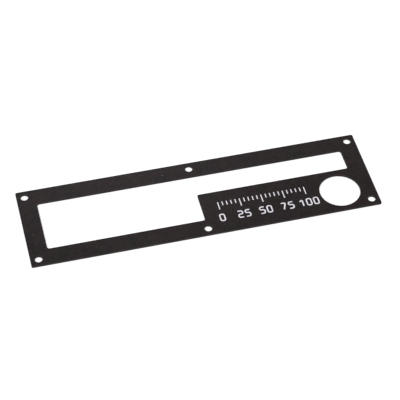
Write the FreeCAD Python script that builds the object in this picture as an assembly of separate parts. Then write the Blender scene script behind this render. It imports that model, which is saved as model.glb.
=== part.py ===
import FreeCAD, Part
import math
import os

# Drive bay bezel: one flat sheet plate that lies face up.
# Millimetres. X runs along the plate towards its port, Y across it from the near long edge to the far
# one, and Z through the sheet from the back face to the front. The origin is the middle of the back face.

# Sheet blank
PLATE_LENGTH = 149.0
PLATE_HEIGHT = 41.2
PLATE_THICKNESS = 1.0
PLATE_CORNER_RADIUS = 0.65
EDGE_BREAK = 0.1  # fine bevel on every cut edge, front and back

# Sight window: a tall left part, and an arm that runs on along the far rail over the label panel
END_RAIL_WIDTH = 7.9
LONG_RAIL_WIDTH = 8.0
TALL_WINDOW_LENGTH = 66.5
WINDOW_CORNER_RADIUS = 1.0
STEP_CORNER_RADIUS = 0.6

# Round port at the end of the label panel, with the strips of metal left around it
PORT_DIAMETER = 17.4
PORT_END_LAND = 6.4
PORT_NEAR_LAND = 2.3
PORT_ARM_WEB = 2.7

# Screw holes: one at each corner of the plate and one half way along each long rail
SCREW_HOLE_DIAMETER = 3.2
SCREW_INSET = 3.4  # from the plate's edges to the hole's centre

# Edges of the plate
right_edge = PLATE_LENGTH / 2
left_edge = -right_edge
far_edge = PLATE_HEIGHT / 2
near_edge = -far_edge

# The port stands off the right and near edges, and the arm of the window stands off the port
port_x = right_edge - PORT_END_LAND - PORT_DIAMETER / 2
port_y = near_edge + PORT_NEAR_LAND + PORT_DIAMETER / 2

# Edges of the window
window_left = left_edge + END_RAIL_WIDTH
window_step = window_left + TALL_WINDOW_LENGTH
window_right = right_edge - END_RAIL_WIDTH
window_near = near_edge + LONG_RAIL_WIDTH
window_far = far_edge - LONG_RAIL_WIDTH
arm_near = port_y + PORT_DIAMETER / 2 + PORT_ARM_WEB


def rounded_outline(corners):
    """Closed flat wire through corners (x, y, radius), each turned by a tangent arc of its own radius."""
    points = [FreeCAD.Vector(x, y, 0) for x, y, radius in corners]
    turns = []
    for index, (x, y, radius) in enumerate(corners):
        corner = points[index]
        to_last = (points[index - 1] - corner).normalize()
        to_next = (points[(index + 1) % len(points)] - corner).normalize()
        half_angle = to_last.getAngle(to_next) / 2
        inward = (to_last + to_next).normalize()
        setback = radius / math.tan(half_angle)
        arc_depth = radius / math.sin(half_angle) - radius
        turns.append((corner + to_last * setback, corner + inward * arc_depth, corner + to_next * setback))

    edges = []
    for index, (start, middle, end) in enumerate(turns):
        next_start = turns[(index + 1) % len(turns)][0]
        edges.append(Part.Arc(start, middle, end).toShape())
        edges.append(Part.LineSegment(end, next_start).toShape())
    return Part.Wire(edges)


def round_outline(x, y, diameter):
    """Circle in the plane of the back face."""
    centre = FreeCAD.Vector(x, y, 0)
    return Part.Wire([Part.makeCircle(diameter / 2, centre)])


def plate_outline():
    """The blank's rectangle with its small rounded corners."""
    return rounded_outline([
        (left_edge, near_edge, PLATE_CORNER_RADIUS),
        (right_edge, near_edge, PLATE_CORNER_RADIUS),
        (right_edge, far_edge, PLATE_CORNER_RADIUS),
        (left_edge, far_edge, PLATE_CORNER_RADIUS),
    ])


def window_outline():
    """The stepped window; the step's own corner is the outside corner of the label panel."""
    return rounded_outline([
        (window_left, window_near, WINDOW_CORNER_RADIUS),
        (window_step, window_near, WINDOW_CORNER_RADIUS),
        (window_step, arm_near, STEP_CORNER_RADIUS),
        (window_right, arm_near, WINDOW_CORNER_RADIUS),
        (window_right, window_far, WINDOW_CORNER_RADIUS),
        (window_left, window_far, WINDOW_CORNER_RADIUS),
    ])


def screw_outlines():
    """Circles for the screw holes, in three pairs: left end, middle and right end."""
    columns = (left_edge + SCREW_INSET, (left_edge + right_edge) / 2, right_edge - SCREW_INSET)
    rows = (near_edge + SCREW_INSET, far_edge - SCREW_INSET)
    return [round_outline(x, y, SCREW_HOLE_DIAMETER) for x in columns for y in rows]


def break_edges(plate):
    """Bevel the rims on both faces; the rims are the edges that lie flat."""
    rims = [edge for edge in plate.Edges if edge.BoundBox.ZLength < PLATE_THICKNESS / 2]
    return plate.makeChamfer(EDGE_BREAK, rims)


def bezel_plate():
    """The cut profile, taken through the thickness of the sheet and then deburred."""
    port = round_outline(port_x, port_y, PORT_DIAMETER)
    wires = [plate_outline(), window_outline(), port] + screw_outlines()
    profile = Part.makeFace(wires, "Part::FaceMakerBullseye")
    sheet = profile.extrude(FreeCAD.Vector(0, 0, PLATE_THICKNESS))
    return break_edges(sheet).Solids[0]


os.makedirs("parts", exist_ok=True)
bezel_plate().exportStep("parts/bezel_plate.step")
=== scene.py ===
import logging
import math
from dataclasses import dataclass, field
from enum import Enum, IntEnum
from typing import Any, Mapping, Optional, Sequence, Union

import bpy
import numpy as np
from mathutils import Matrix, Vector

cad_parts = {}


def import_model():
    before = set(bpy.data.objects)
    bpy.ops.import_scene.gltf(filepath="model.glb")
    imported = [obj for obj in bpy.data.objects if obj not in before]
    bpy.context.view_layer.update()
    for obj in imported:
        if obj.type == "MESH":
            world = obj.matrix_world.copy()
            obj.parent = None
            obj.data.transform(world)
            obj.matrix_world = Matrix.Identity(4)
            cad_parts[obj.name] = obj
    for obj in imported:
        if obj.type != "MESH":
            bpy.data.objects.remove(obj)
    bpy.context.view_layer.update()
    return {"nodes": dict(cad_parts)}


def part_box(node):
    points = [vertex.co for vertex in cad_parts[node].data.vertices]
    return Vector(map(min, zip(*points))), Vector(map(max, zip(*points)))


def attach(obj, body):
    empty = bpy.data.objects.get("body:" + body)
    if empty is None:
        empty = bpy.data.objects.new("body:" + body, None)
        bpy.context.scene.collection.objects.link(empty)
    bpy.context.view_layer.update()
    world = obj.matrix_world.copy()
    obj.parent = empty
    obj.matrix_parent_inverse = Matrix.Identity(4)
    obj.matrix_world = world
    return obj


# Looks of the drive bay bezel: the plate's finish, the scale printed on it, its studio and its camera.
# X runs along the plate towards its port, Y across it to the far edge, and Z out of its front face.
# A size is in the unit that its name ends in, an angle in degrees, and Blender works in metres.

LOG = logging.getLogger("drive_bay_bezel")
MM = 0.001
BODY = "root"
NOISE_MIDDLE = 0.5  # the values of a Noise node lie about it

Colour = tuple[float, float, float]
Number = Union[float, "Value"]
Input = Union[float, Sequence[float], "Value"]

WHITE: Colour = (1.0, 1.0, 1.0)


# Shader expressions


class Value:
    """A shader socket that takes part in Python expressions: each operator adds one Math node."""

    def __init__(self, graph: "Graph", socket: Optional[bpy.types.NodeSocket]) -> None:
        """Keep the graph that new nodes go into, and the socket that this value comes from."""
        self.graph = graph
        self.socket = socket

    def math(self, operation: str, *operands: Number) -> "Value":
        """Result of a Math node, with sockets or plain numbers as its inputs in order."""
        return self.graph.node("ShaderNodeMath", {"operation": operation}, dict(enumerate(operands)))

    def __add__(self, other: Number) -> "Value":
        """This value plus another."""
        return self.math("ADD", self, other)

    def __radd__(self, other: Number) -> "Value":
        """A number plus this value."""
        return self.math("ADD", other, self)

    def __sub__(self, other: Number) -> "Value":
        """This value minus another."""
        return self.math("SUBTRACT", self, other)

    def __rsub__(self, other: Number) -> "Value":
        """A number minus this value."""
        return self.math("SUBTRACT", other, self)

    def __mul__(self, other: Number) -> "Value":
        """This value times another."""
        return self.math("MULTIPLY", self, other)

    def __rmul__(self, other: Number) -> "Value":
        """A number times this value."""
        return self.math("MULTIPLY", other, self)

    def __abs__(self) -> "Value":
        """This value without its sign."""
        return self.math("ABSOLUTE", self)

    def __lt__(self, other: Number) -> "Value":
        """Mask of where this value is below another."""
        return self.math("LESS_THAN", self, other)

    def __gt__(self, other: Number) -> "Value":
        """Mask of where this value is above another, which is also the reflected form of below."""
        return self.math("GREATER_THAN", self, other)

    def __or__(self, other: Number) -> "Value":
        """The larger of two masks."""
        return self.math("MAXIMUM", self, other)

    def __ror__(self, other: Number) -> "Value":
        """The larger of a number and this mask."""
        return self.math("MAXIMUM", other, self)


class MixSocket(IntEnum):
    """Places of a Mix node's colour sockets, whose names its sockets of other kinds share."""

    SHARE = 0
    FIRST = 6
    SECOND = 7
    RESULT = 2


class Graph:
    """The node tree of one material or of the world, filled by one method."""

    def __init__(self, owner: Union[bpy.types.Material, bpy.types.World]) -> None:
        """Start an empty tree.

        Args:
            owner: the material or the world that it belongs to.
        """
        owner.use_nodes = True
        self.tree = owner.node_tree
        self.tree.nodes.clear()

    def node(
        self,
        kind: str,
        settings: Optional[Mapping[str, Any]] = None,
        inputs: Optional[Mapping[Union[str, int], Input]] = None,
        output: Union[str, int] = 0,
    ) -> Value:
        """Add any node.

        Args:
            kind: the node's type in Blender.
            settings: its own settings, which are set before its sockets.
            inputs: a value or another node's result for each socket, by name or place.
            output: which of its results is wanted.

        Returns:
            That result, which is without a socket if the node has no results.
        """
        made = self.tree.nodes.new(kind)
        for name, setting in (settings or {}).items():
            setattr(made, name, setting)
        for key, given in (inputs or {}).items():
            if isinstance(given, Value):
                self.tree.links.new(given.socket, made.inputs[key])
            else:
                made.inputs[key].default_value = given
        return Value(self, made.outputs[output] if made.outputs else None)

    def mix(self, share: Number, first: Input, second: Input) -> Value:
        """Blend of two colours: the first one where the share is 0, and the second where it is 1."""
        inputs = {MixSocket.SHARE: share, MixSocket.FIRST: first, MixSocket.SECOND: second}
        return self.node("ShaderNodeMix", {"data_type": "RGBA"}, inputs, MixSocket.RESULT)

    def noise(self, place: Value, size_mm: float, detail: float) -> Value:
        """Soft random pattern with patches of one size, and so many finer layers on them."""
        inputs = {"Vector": place, "Scale": 1 / (size_mm * MM), "Detail": detail}
        return self.node("ShaderNodeTexNoise", None, inputs)

    def ramp(self, value: Number, start: float, end: float) -> Value:
        """Smooth step from 0, where the value is at start, to 1, where it reaches end."""
        limits = {"Value": value, "From Min": start, "From Max": end, "To Min": 0.0, "To Max": 1.0}
        return self.node("ShaderNodeMapRange", {"interpolation_type": "SMOOTHSTEP"}, limits)

    def bumps(self, pattern: Value, height_mm: float, strength: float) -> Value:
        """Normals of a face that a pattern raises by up to one height."""
        inputs = {"Height": pattern, "Distance": height_mm * MM, "Strength": strength}
        return self.node("ShaderNodeBump", None, inputs)

    def looked_at(self) -> Value:
        """Mask of the rays that look at a thing: from the camera, in a mirror or through glass.

        Returns:
            1 for those rays, and 0 for the ones that only carry light.
        """
        kinds = ("Is Camera Ray", "Is Glossy Ray", "Is Transmission Ray")
        straight, mirrored, refracted = (
            self.node("ShaderNodeLightPath", output=kind) for kind in kinds
        )
        return straight | mirrored | refracted


# Finishes


def opaque(colour: Colour) -> tuple[float, float, float, float]:
    """The colour with full cover, as colour sockets take it."""
    return (*colour, 1.0)


@dataclass(frozen=True)
class Mottle:
    """One layer of a random pattern: its patches, their detail, its share, and where it starts."""

    size_mm: float
    detail: float
    share: float
    start_mm: tuple[float, float, float] = (0.0, 0.0, 0.0)

    def over(self, graph: Graph, place: Value) -> Value:
        """This layer's part of the pattern at each place.

        Args:
            graph: the tree that the nodes go into.
            place: the piece's own coordinates.

        Returns:
            The layer's value, from 0 to its share.
        """
        start = tuple(along * MM for along in self.start_mm)
        moved = graph.node("ShaderNodeVectorMath", {"operation": "ADD"}, {0: place, 1: start})
        return self.share * graph.noise(moved, self.size_mm, self.detail)


@dataclass(frozen=True)
class Fleck:
    """A tiny pale spot in the front face: its place, its reach, how much of it shows, and its core."""

    x_mm: float
    y_mm: float
    radius_mm: float
    cover: float
    core: float = 0.3  # share of the radius over which it shows in full

    def over(self, graph: Graph, place: Value, level_mm: float) -> Value:
        """Mask of the spot, by distance from its centre.

        Args:
            graph: the tree that the nodes go into.
            place: the piece's own coordinates.
            level_mm: height of the plate's face.

        Returns:
            Its cover at its core, falling smoothly to 0 at its rim.
        """
        centre = (self.x_mm * MM, self.y_mm * MM, level_mm * MM)
        ends = {0: place, 1: centre}
        away = graph.node("ShaderNodeVectorMath", {"operation": "DISTANCE"}, ends, "Value")
        return self.cover * graph.ramp(away, self.radius_mm * MM, self.core * self.radius_mm * MM)


@dataclass(frozen=True)
class BlackAnodised:
    """Satin black anodising: blotchy warm dye with painted sheen and shade in its broadest patches,
    fine blasted grain, a few flecks, and paler cut edges that are partly cut metal and partly a
    painted highlight.

    The dye runs from deep black to a paler black between red and grey. The gloss is low, because the
    white room shows in it.
    """

    name: str = "black_anodised"
    deep: Colour = (0.0036, 0.0020, 0.0024)
    red: Colour = (0.0192, 0.0104, 0.0113)
    grey: Colour = (0.0153, 0.0122, 0.0104)
    # Colour of the cut edges: paler cut metal, and a painted highlight that makes the walls look lit
    edge: Colour = (0.060, 0.052, 0.049)
    fleck: Colour = (0.095, 0.075, 0.078)

    # Patterns of the dye's paleness and of its tint, each with the values that stand for its two ends;
    # the broad first layer of paleness paints sheen and shade
    dye_and_sheen_layers: tuple[Mottle, ...] = (
        # Broad layer whose start moves its pale and dark patches to where they paint sheen and shade
        # on the face
        Mottle(size_mm=55.0, detail=0.0, share=0.12, start_mm=(-550.0, -520.0, -520.0)),
        Mottle(size_mm=10.0, detail=1.0, share=0.12),
        Mottle(size_mm=2.8, detail=1.0, share=0.23),
        Mottle(size_mm=0.36, detail=0.0, share=0.53),
    )
    dye_and_sheen_range: tuple[float, float] = (0.40, 0.60)
    tints: Mottle = Mottle(size_mm=3.2, detail=2.0, share=1.0)
    tint_range: tuple[float, float] = (0.35, 0.65)

    # Blasted grain, rubs from handling, and how much each one changes the roughness
    grain_mm: float = 0.30
    grain_detail: float = 2.0
    grain_height_mm: float = 0.004
    grain_strength: float = 0.25
    rub_mm: float = 9.0
    rub_detail: float = 4.0
    gloss: float = 0.11
    roughness: float = 0.36
    rub_roughness: float = 0.10
    grain_roughness: float = 0.08

    # Cut edges, whose normals stand less upright than flat_face, and the share of paler colour on
    # them: paler cut metal, and a painted highlight that makes the walls look lit
    flat_face: float = 0.95
    edge_cover: float = 0.7

    flecks: tuple[Fleck, ...] = (
        Fleck(x_mm=-11.9, y_mm=15.97, radius_mm=0.42, cover=1.0),
        Fleck(x_mm=-20.5, y_mm=18.0, radius_mm=0.36, cover=0.40),
        Fleck(x_mm=-33.2, y_mm=17.5, radius_mm=0.36, cover=0.40),
        Fleck(x_mm=-71.25, y_mm=-3.75, radius_mm=0.40, cover=0.50),
    )

    def material(self, level_mm: float) -> bpy.types.Material:
        """Build the finish.

        Args:
            level_mm: height of the plate's face, which the flecks lie in.

        Returns:
            A material that reads the piece's own coordinates.
        """
        made = bpy.data.materials.new(self.name)
        graph = Graph(made)
        place = graph.node("ShaderNodeTexCoord", output="Object")
        grain = graph.noise(place, self.grain_mm, self.grain_detail)
        rubs = graph.noise(place, self.rub_mm, self.rub_detail)

        tint = graph.ramp(self.tints.over(graph, place), *self.tint_range)
        # Paleness of the dye, with painted sheen and shade from the broad layer
        dye_and_sheen = graph.ramp(sum(layer.over(graph, place) for layer in self.dye_and_sheen_layers), *self.dye_and_sheen_range)
        # Paler cut edges, broken up by the rubs: partly wear and cut metal, partly a painted highlight
        wear_and_painted_highlight = self.cut_edges(graph) * rubs * self.edge_cover
        flecked = sum(fleck.over(graph, place, level_mm) for fleck in self.flecks)
        colour = graph.mix(tint, opaque(self.red), opaque(self.grey))
        colour = graph.mix(dye_and_sheen, opaque(self.deep), colour)
        colour = graph.mix(wear_and_painted_highlight, colour, opaque(self.edge))
        colour = graph.mix(flecked, colour, opaque(self.fleck))

        rubbed = self.rub_roughness * (rubs - NOISE_MIDDLE)
        grained = self.grain_roughness * (grain - NOISE_MIDDLE)
        surface = graph.node(
            "ShaderNodeBsdfPrincipled",
            None,
            {
                "Base Color": colour,
                "Roughness": self.roughness + rubbed + grained,
                "Specular IOR Level": self.gloss,
                "Normal": graph.bumps(grain, self.grain_height_mm, self.grain_strength),
            },
        )
        graph.node("ShaderNodeOutputMaterial", None, {"Surface": surface})
        return made

    def cut_edges(self, graph: Graph) -> Value:
        """Mask of the walls and bevels, whose normals leave the plate's own.

        Args:
            graph: the tree that the nodes go into.

        Returns:
            1 on the cut edges and 0 on the two faces.
        """
        normal = graph.node("ShaderNodeNewGeometry", output="Normal")
        upright = graph.node("ShaderNodeSeparateXYZ", None, {0: normal}, "Z")
        return abs(upright) < self.flat_face


@dataclass(frozen=True)
class PaleInk:
    """Matte screen print in pale cool grey, a little thin in places."""

    name: str = "pale_ink"
    full: Colour = (0.78, 0.76, 0.81)
    thin: Colour = (0.62, 0.60, 0.65)
    patch_mm: float = 1.6
    patch_detail: float = 4.0
    patch_range: tuple[float, float] = (0.3, 0.55)
    mesh_mm: float = 0.12
    mesh_detail: float = 1.0
    mesh_height_mm: float = 0.004
    mesh_strength: float = 0.3
    roughness: float = 0.55

    def material(self) -> bpy.types.Material:
        """Build the finish.

        Returns:
            A material that reads the piece's own coordinates.
        """
        made = bpy.data.materials.new(self.name)
        graph = Graph(made)
        place = graph.node("ShaderNodeTexCoord", output="Object")
        cover = graph.ramp(graph.noise(place, self.patch_mm, self.patch_detail), *self.patch_range)
        weave = graph.noise(place, self.mesh_mm, self.mesh_detail)
        surface = graph.node(
            "ShaderNodeBsdfPrincipled",
            None,
            {
                "Base Color": graph.mix(cover, opaque(self.thin), opaque(self.full)),
                "Roughness": self.roughness,
                "Normal": graph.bumps(weave, self.mesh_height_mm, self.mesh_strength),
            },
        )
        graph.node("ShaderNodeOutputMaterial", None, {"Surface": surface})
        return made


@dataclass(frozen=True)
class WhiteFloor:
    """Matte white table that looks plain white, in reflections too, and keeps the object's shadow.

    From below it isn't seen at all. It also lets through what starts within a hair of its face, so
    that light from below reaches what lies on it.
    """

    name: str = "white_floor"
    paint: Colour = (0.80, 0.80, 0.80)
    lift: float = 0.30
    hair_mm: float = 0.3

    def material(self) -> bpy.types.Material:
        """Build the finish.

        Returns:
            A material of white paint, lifted to full white wherever it is looked at.
        """
        made = bpy.data.materials.new(self.name)
        graph = Graph(made)
        paint = graph.node("ShaderNodeBsdfDiffuse", None, {"Color": opaque(self.paint)})
        glow = graph.node("ShaderNodeEmission", None, {"Color": opaque(WHITE), "Strength": self.lift})
        lifted = graph.node("ShaderNodeAddShader", None, {0: paint, 1: glow})
        table = graph.node("ShaderNodeMixShader", None, {0: graph.looked_at(), 1: paint, 2: lifted})

        below = graph.node("ShaderNodeNewGeometry", output="Backfacing")
        length = graph.node("ShaderNodeLightPath", output="Ray Length")
        passed = below | (length < self.hair_mm * MM)
        clear = graph.node("ShaderNodeBsdfTransparent", None, {"Color": opaque(WHITE)})
        surface = graph.node("ShaderNodeMixShader", None, {0: passed, 1: table, 2: clear})
        graph.node("ShaderNodeOutputMaterial", None, {"Surface": surface})
        return made


# Surfaces


@dataclass
class Surface:
    """Points in millimetres and four-sided faces, as whole arrays."""

    points: np.ndarray
    faces: np.ndarray

    @classmethod
    def joined(cls, surfaces: Sequence["Surface"]) -> "Surface":
        """Put several surfaces into one.

        Args:
            surfaces: what is joined, in order.

        Returns:
            One surface; each one's faces count on from the points before it.
        """
        starts = np.cumsum([0] + [len(each.points) for each in surfaces[:-1]])
        points = np.concatenate([each.points for each in surfaces])
        faces = np.concatenate([each.faces + start for each, start in zip(surfaces, starts)])
        return cls(points, faces)

    def piece(self, name: str, material: bpy.types.Material) -> bpy.types.Object:
        """Make a Blender object at the origin, with its place in its mesh.

        Args:
            name: the piece's name.
            material: its finish.

        Returns:
            The object, in the scene.
        """
        mesh = bpy.data.meshes.new(name)
        mesh.from_pydata((self.points * MM).tolist(), [], self.faces.tolist())
        mesh.materials.append(material)
        mesh.update()
        made = bpy.data.objects.new(name, mesh)
        bpy.context.scene.collection.objects.link(made)
        return made


@dataclass(frozen=True)
class Stroke:
    """One stroke of ink: a flat-topped bead carried along a line on the plate."""

    width_mm: float
    height_mm: float = 0.03
    shoulder_mm: float = 0.03
    sunk_mm: float = 0.01

    def profile(self) -> np.ndarray:
        """Section of the bead, as offsets across the line and up from the plate.

        Returns:
            Four points: the sunk foot from side to side, then the narrower top from side to side.
        """
        half = self.width_mm / 2
        top = half - self.shoulder_mm
        foot = [(-half, -self.sunk_mm), (half, -self.sunk_mm)]
        crown = [(top, self.height_mm), (-top, self.height_mm)]
        return np.array(foot + crown)

    def along(self, line: np.ndarray, closed: bool, level_mm: float) -> Surface:
        """Carry the section along a line.

        Point (i, j) is point i of the line, plus point j of the section across the line and up.

        Args:
            line: points in the plate's plane, one row each.
            closed: whether the line runs back to its start.
            level_mm: height of the plate's face.

        Returns:
            A closed surface.
        """
        section = self.profile()
        count, sides = len(line), len(section)
        if closed:
            heading = np.roll(line, -1, axis=0) - np.roll(line, 1, axis=0)
        else:
            heading = np.gradient(line, axis=0)
        heading = heading / np.linalg.norm(heading, axis=1, keepdims=True)
        across = np.stack([heading[:, 1], -heading[:, 0]], axis=1)
        flat = line[:, None, :] + section[None, :, :1] * across[:, None, :]
        height = np.broadcast_to(level_mm + section[None, :, 1:], (count, sides, 1))
        points = np.concatenate([flat, height], axis=2).reshape(-1, 3)

        spans = count if closed else count - 1
        row = np.arange(spans)[:, None] * sides
        ahead = ((np.arange(spans)[:, None] + 1) % count) * sides
        side = np.arange(sides)[None, :]
        beside = (side + 1) % sides
        corners = [row + side, ahead + side, ahead + beside, row + beside]
        faces = np.stack(corners, axis=2).reshape(-1, 4)
        if not closed:
            start_cap = side
            end_cap = (count - 1) * sides + side[:, ::-1]
            faces = np.concatenate([faces, start_cap, end_cap])
        return Surface(points, faces)


def rounded_line(corners: np.ndarray, radius: float, closed: bool, steps: int = 7) -> np.ndarray:
    """Turn each corner of a line by a tangent arc.

    With u and v the directions from a corner to its neighbours and h half the angle between them, the
    arc starts r / tan h along u, ends r / tan h along v, and its centre lies r / sin h along the
    direction between them. From the centre, the point at a share s of the sweep w is
    (sin((1 - s) w) first + sin(s w) last) / sin w.

    Args:
        corners: the line's corner points, one row each.
        radius: radius of every turn.
        closed: whether the line runs back to its start; if not, its two ends stay as they are.
        steps: points on each arc.

    Returns:
        Points of the rounded line, one row each.
    """
    before = np.roll(corners, 1, axis=0) - corners
    after = np.roll(corners, -1, axis=0) - corners
    if not closed:
        before, after = before[1:-1], after[1:-1]
    turned = corners if closed else corners[1:-1]
    before = before / np.linalg.norm(before, axis=1, keepdims=True)
    after = after / np.linalg.norm(after, axis=1, keepdims=True)
    half = np.arccos(np.sum(before * after, axis=1, keepdims=True)) / 2
    between = (before + after) / np.linalg.norm(before + after, axis=1, keepdims=True)
    centre = turned + between * radius / np.sin(half)
    first = turned + before * radius / np.tan(half) - centre
    last = turned + after * radius / np.tan(half) - centre
    share = np.linspace(0, 1, steps)[None, :, None]
    sweep = (np.pi - 2 * half)[:, None, :]
    leaving = np.sin((1 - share) * sweep) * first[:, None, :]
    arriving = np.sin(share * sweep) * last[:, None, :]
    arc = centre[:, None, :] + (leaving + arriving) / np.sin(sweep)
    points = arc.reshape(-1, 2)
    return points if closed else np.concatenate([corners[:1], points, corners[-1:]])


# The plate and its print


class Figure(Enum):
    """Plain numerals as square-shouldered lines.

    Each one holds its corner points in shares of the width and height, the radius of its turns in
    millimetres, and whether its line runs back to its start.
    """

    ZERO = (((0, 0), (1, 0), (1, 1), (0, 1)), 0.72, True)
    ONE = (((0.08, 0.72), (0.72, 1), (0.72, 0)), 0.34, False)
    TWO = (((0, 1), (1, 1), (1, 0.5), (0, 0.5), (0, 0), (1, 0)), 0.72, False)
    FIVE = (((1, 1), (0, 1), (0, 0.56), (1, 0.56), (1, 0), (0, 0)), 0.72, False)
    SEVEN = (((0, 1), (1, 1), (0.32, 0)), 0.45, False)

    def line(self, width_mm: float, height_mm: float) -> np.ndarray:
        """Points of the numeral's middle line at one size, with its turns rounded."""
        corners, turn_mm, closed = self.value
        return rounded_line(np.array(corners) * (width_mm, height_mm), turn_mm, closed)

    @property
    def closed(self) -> bool:
        """Whether the line runs back to its start."""
        return self.value[2]


class Tick(Enum):
    """Kinds of mark on the scale: each one's length in millimetres."""

    MAJOR = 4.1
    MINOR = 2.1


@dataclass
class LevelScale:
    """Scale printed on the label panel: a row of ticks, and plain numbers under the long ones."""

    start_x_mm: float = 7.2
    tick_top_y_mm: float = -4.3
    figure_foot_y_mm: float = -14.65
    step_mm: float = 1.88
    steps: int = 20
    steps_each_figure: int = 5
    figure_width_mm: float = 1.9
    figure_height_mm: float = 3.5
    figure_gap_mm: float = 1.25
    thin: Stroke = Stroke(width_mm=0.46)
    bold: Stroke = Stroke(width_mm=0.60)
    labels: tuple[tuple[Figure, ...], ...] = (
        (Figure.ZERO,),
        (Figure.TWO, Figure.FIVE),
        (Figure.FIVE, Figure.ZERO),
        (Figure.SEVEN, Figure.FIVE),
        (Figure.ONE, Figure.ZERO, Figure.ZERO),
    )

    def build(self, level_mm: float, ink: bpy.types.Material) -> list[bpy.types.Object]:
        """Make the print's two pieces.

        Args:
            level_mm: height of the plate's face.
            ink: the print's finish.

        Returns:
            The ticks, and the numbers.
        """
        ticks = Surface.joined(self.tick_strokes(level_mm)).piece("scale_ticks", ink)
        figures = Surface.joined(self.figure_strokes(level_mm)).piece("scale_figures", ink)
        return [ticks, figures]

    def tick_strokes(self, level_mm: float) -> list[Surface]:
        """The ticks, which hang from one line.

        Args:
            level_mm: height of the plate's face.

        Returns:
            One straight stroke each.
        """
        strokes = []
        for index in range(self.steps + 1):
            kind = Tick.MINOR if index % self.steps_each_figure else Tick.MAJOR
            x = self.start_x_mm + index * self.step_mm
            line = np.array([(x, self.tick_top_y_mm), (x, self.tick_top_y_mm - kind.value)])
            strokes.append(self.thin.along(line, False, level_mm))
        return strokes

    def figure_strokes(self, level_mm: float) -> list[Surface]:
        """The numbers, each centred under its tick.

        Args:
            level_mm: height of the plate's face.

        Returns:
            One stroke for each numeral.
        """
        pitch = self.figure_width_mm + self.figure_gap_mm
        strokes = []
        for index, label in enumerate(self.labels):
            centre_x = self.start_x_mm + index * self.steps_each_figure * self.step_mm
            left_x = centre_x - (len(label) * pitch - self.figure_gap_mm) / 2
            for place, figure in enumerate(label):
                foot = np.array([left_x + place * pitch, self.figure_foot_y_mm])
                line = foot + figure.line(self.figure_width_mm, self.figure_height_mm)
                strokes.append(self.bold.along(line, figure.closed, level_mm))
        return strokes


@dataclass
class BezelPlate:
    """The sheet itself, whose solid keeps its form and gets its finish here."""

    node: str = "bezel_plate"
    finish: BlackAnodised = BlackAnodised()
    ink: PaleInk = PaleInk()
    scale: LevelScale = field(default_factory=LevelScale)

    def dress(self, nodes: Mapping[str, bpy.types.Object]) -> list[bpy.types.Object]:
        """Give the plate its finish and its print.

        Args:
            nodes: the frame's objects by name.

        Returns:
            Every piece of the object.
        """
        plate = nodes[self.node]
        level_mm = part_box(self.node)[1].z / MM
        plate.data.materials.clear()
        plate.data.materials.append(self.finish.material(level_mm))
        prints = self.scale.build(level_mm, self.ink.material())
        for printed in prints:
            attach(printed, BODY)
        return [plate, *prints]


# Studio and camera


@dataclass(frozen=True)
class Bearing:
    """A direction from the object: degrees round from the near side, and degrees above the table."""

    azimuth: float
    elevation: float

    def vector(self) -> Vector:
        """Point that way.

        Returns:
            A unit vector from the object.
        """
        around, above = math.radians(self.azimuth), math.radians(self.elevation)
        level = Vector((math.sin(around), -math.cos(around), 0.0))
        return level * math.cos(above) + Vector((0.0, 0.0, math.sin(above)))


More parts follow.
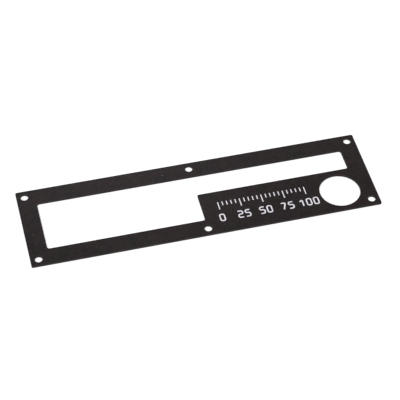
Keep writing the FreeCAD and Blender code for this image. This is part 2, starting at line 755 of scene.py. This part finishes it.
@dataclass
class Studio:
    """White table in a white room, a broad key light from the near left, and one soft panel behind."""

    floor: WhiteFloor = WhiteFloor()
    floor_half_m: float = 4.0
    floor_drop_mm: float = 0.02

    # Levels of the room, where 1 is white: as it looks, and as it lights from above and from below
    white_level: float = 1.0
    surround_level: float = 0.12
    underneath_level: float = 0.60

    key_from: Bearing = Bearing(-30.0, 64.0)
    key_distance_m: float = 1.0  # any will do, because a distant light is the same from anywhere
    key_spread: float = 50.0
    key_share: float = 0.80

    panel_from: Bearing = Bearing(175.6, 17.8)
    panel_distance_m: float = 0.54
    panel_width_m: float = 0.21
    panel_height_m: float = 0.47
    panel_level: float = 3.5
    panel_tint: Colour = (1.0, 0.93, 1.0)

    def build(self) -> None:
        """Set the table and every light."""
        self.lay_floor()
        self.light_world()
        self.hang_key()
        self.hang_panel()

    def lay_floor(self) -> None:
        """A flat grid, two by two points, just under the plate."""
        reach = self.floor_half_m / MM
        across, along = np.meshgrid([-reach, reach], [-reach, reach])
        depth = np.full(across.size, -self.floor_drop_mm)
        points = np.stack([across.ravel(), along.ravel(), depth], axis=1)
        floor = Surface(points, np.array([(0, 1, 3, 2)])).piece("table", self.floor.material())

    def light_world(self) -> None:
        """White where it is looked at; its own light is a fill, dim from above and paler from below.

        Only rays from the surfaces find it, because picked as a lamp it would show dim in reflections.
        """
        world = bpy.data.worlds.new("room")
        world.cycles.sampling_method = "NONE"
        bpy.context.scene.world = world
        graph = Graph(world)
        outward = graph.node("ShaderNodeTexCoord", output="Generated")
        height = graph.node("ShaderNodeSeparateXYZ", None, {0: outward}, "Z")
        above, below, white = (
            graph.node("ShaderNodeBackground", None, {"Color": opaque(WHITE), "Strength": level})
            for level in (self.surround_level, self.underneath_level, self.white_level)
        )
        fill = graph.node("ShaderNodeMixShader", None, {0: height < 0.0, 1: above, 2: below})
        room = graph.node("ShaderNodeMixShader", None, {0: graph.looked_at(), 1: fill, 2: white})
        graph.node("ShaderNodeOutputWorld", None, {"Surface": room})

    def hang(self, lamp: bpy.types.Light, bearing: Bearing, distance_m: float) -> None:
        """Put a lamp out in one direction, shining back at the object.

        Args:
            lamp: the light.
            bearing: where it hangs.
            distance_m: how far off.
        """
        out = bearing.vector()
        made = bpy.data.objects.new(lamp.name, lamp)
        made.location = out * distance_m
        made.rotation_euler = out.to_track_quat("Z", "Y").to_euler()
        made.visible_camera = False
        bpy.context.scene.collection.objects.link(made)

    def hang_key(self) -> None:
        """Hang the broad distant key, which lights a level white surface to key_share.

        Its strength is that share times pi, over the sine of its elevation.
        """
        lamp = bpy.data.lights.new("key", "SUN")
        lamp.angle = math.radians(self.key_spread)
        lamp.energy = self.key_share * math.pi / math.sin(math.radians(self.key_from.elevation))
        self.hang(lamp, self.key_from, self.key_distance_m)

    def hang_panel(self) -> None:
        """Hang the upright panel that gives the sheen, with a face panel_level times white.

        Its power is that level times pi, times its area.
        """
        lamp = bpy.data.lights.new("panel", "AREA")
        lamp.shape = "RECTANGLE"
        lamp.size, lamp.size_y = self.panel_width_m, self.panel_height_m
        lamp.color = self.panel_tint
        lamp.energy = self.panel_level * math.pi * self.panel_width_m * self.panel_height_m
        self.hang(lamp, self.panel_from, self.panel_distance_m)


@dataclass
class PhotoCamera:
    """The photograph's view: where the camera stands, what it looks at, its roll and its lens."""

    stands: Bearing = Bearing(-14.893, 48.311)
    roll: float = 1.098
    distance_mm: float = 629.72
    aim_mm: tuple[float, float, float] = (0.610, -0.464, 0.0)
    lens_mm: float = 134.53
    sensor_mm: float = 36.0

    def build(self) -> None:
        """Make the camera and give it to the scene.

        Its axes are right, up and back, of which the first two start level and are turned by the roll.
        """
        data = bpy.data.cameras.new("photo_camera")
        data.lens, data.sensor_width = self.lens_mm, self.sensor_mm
        back = self.stands.vector()
        level = Vector((0, 0, 1)).cross(back).normalized()
        upward = back.cross(level)
        turn = math.radians(self.roll)
        right = math.cos(turn) * level + math.sin(turn) * upward
        up = math.cos(turn) * upward - math.sin(turn) * level
        camera = bpy.data.objects.new("photo_camera", data)
        place = Vector(self.aim_mm) * MM + back * self.distance_mm * MM
        axes = Matrix((right, up, back)).transposed().to_4x4()
        camera.matrix_world = Matrix.Translation(place) @ axes
        bpy.context.scene.collection.objects.link(camera)
        bpy.context.scene.camera = camera


def main() -> None:
    """Load the frame, dress the plate, set the studio and the camera, and use the Standard view."""
    logging.basicConfig(level=logging.INFO)
    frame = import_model()
    for piece in BezelPlate().dress(frame["nodes"]):
        LOG.info("%s: %d faces", piece.name, len(piece.data.polygons))
    Studio().build()
    PhotoCamera().build()
    bpy.context.scene.view_settings.view_transform = "Standard"


if __name__ == "__main__":
    main()
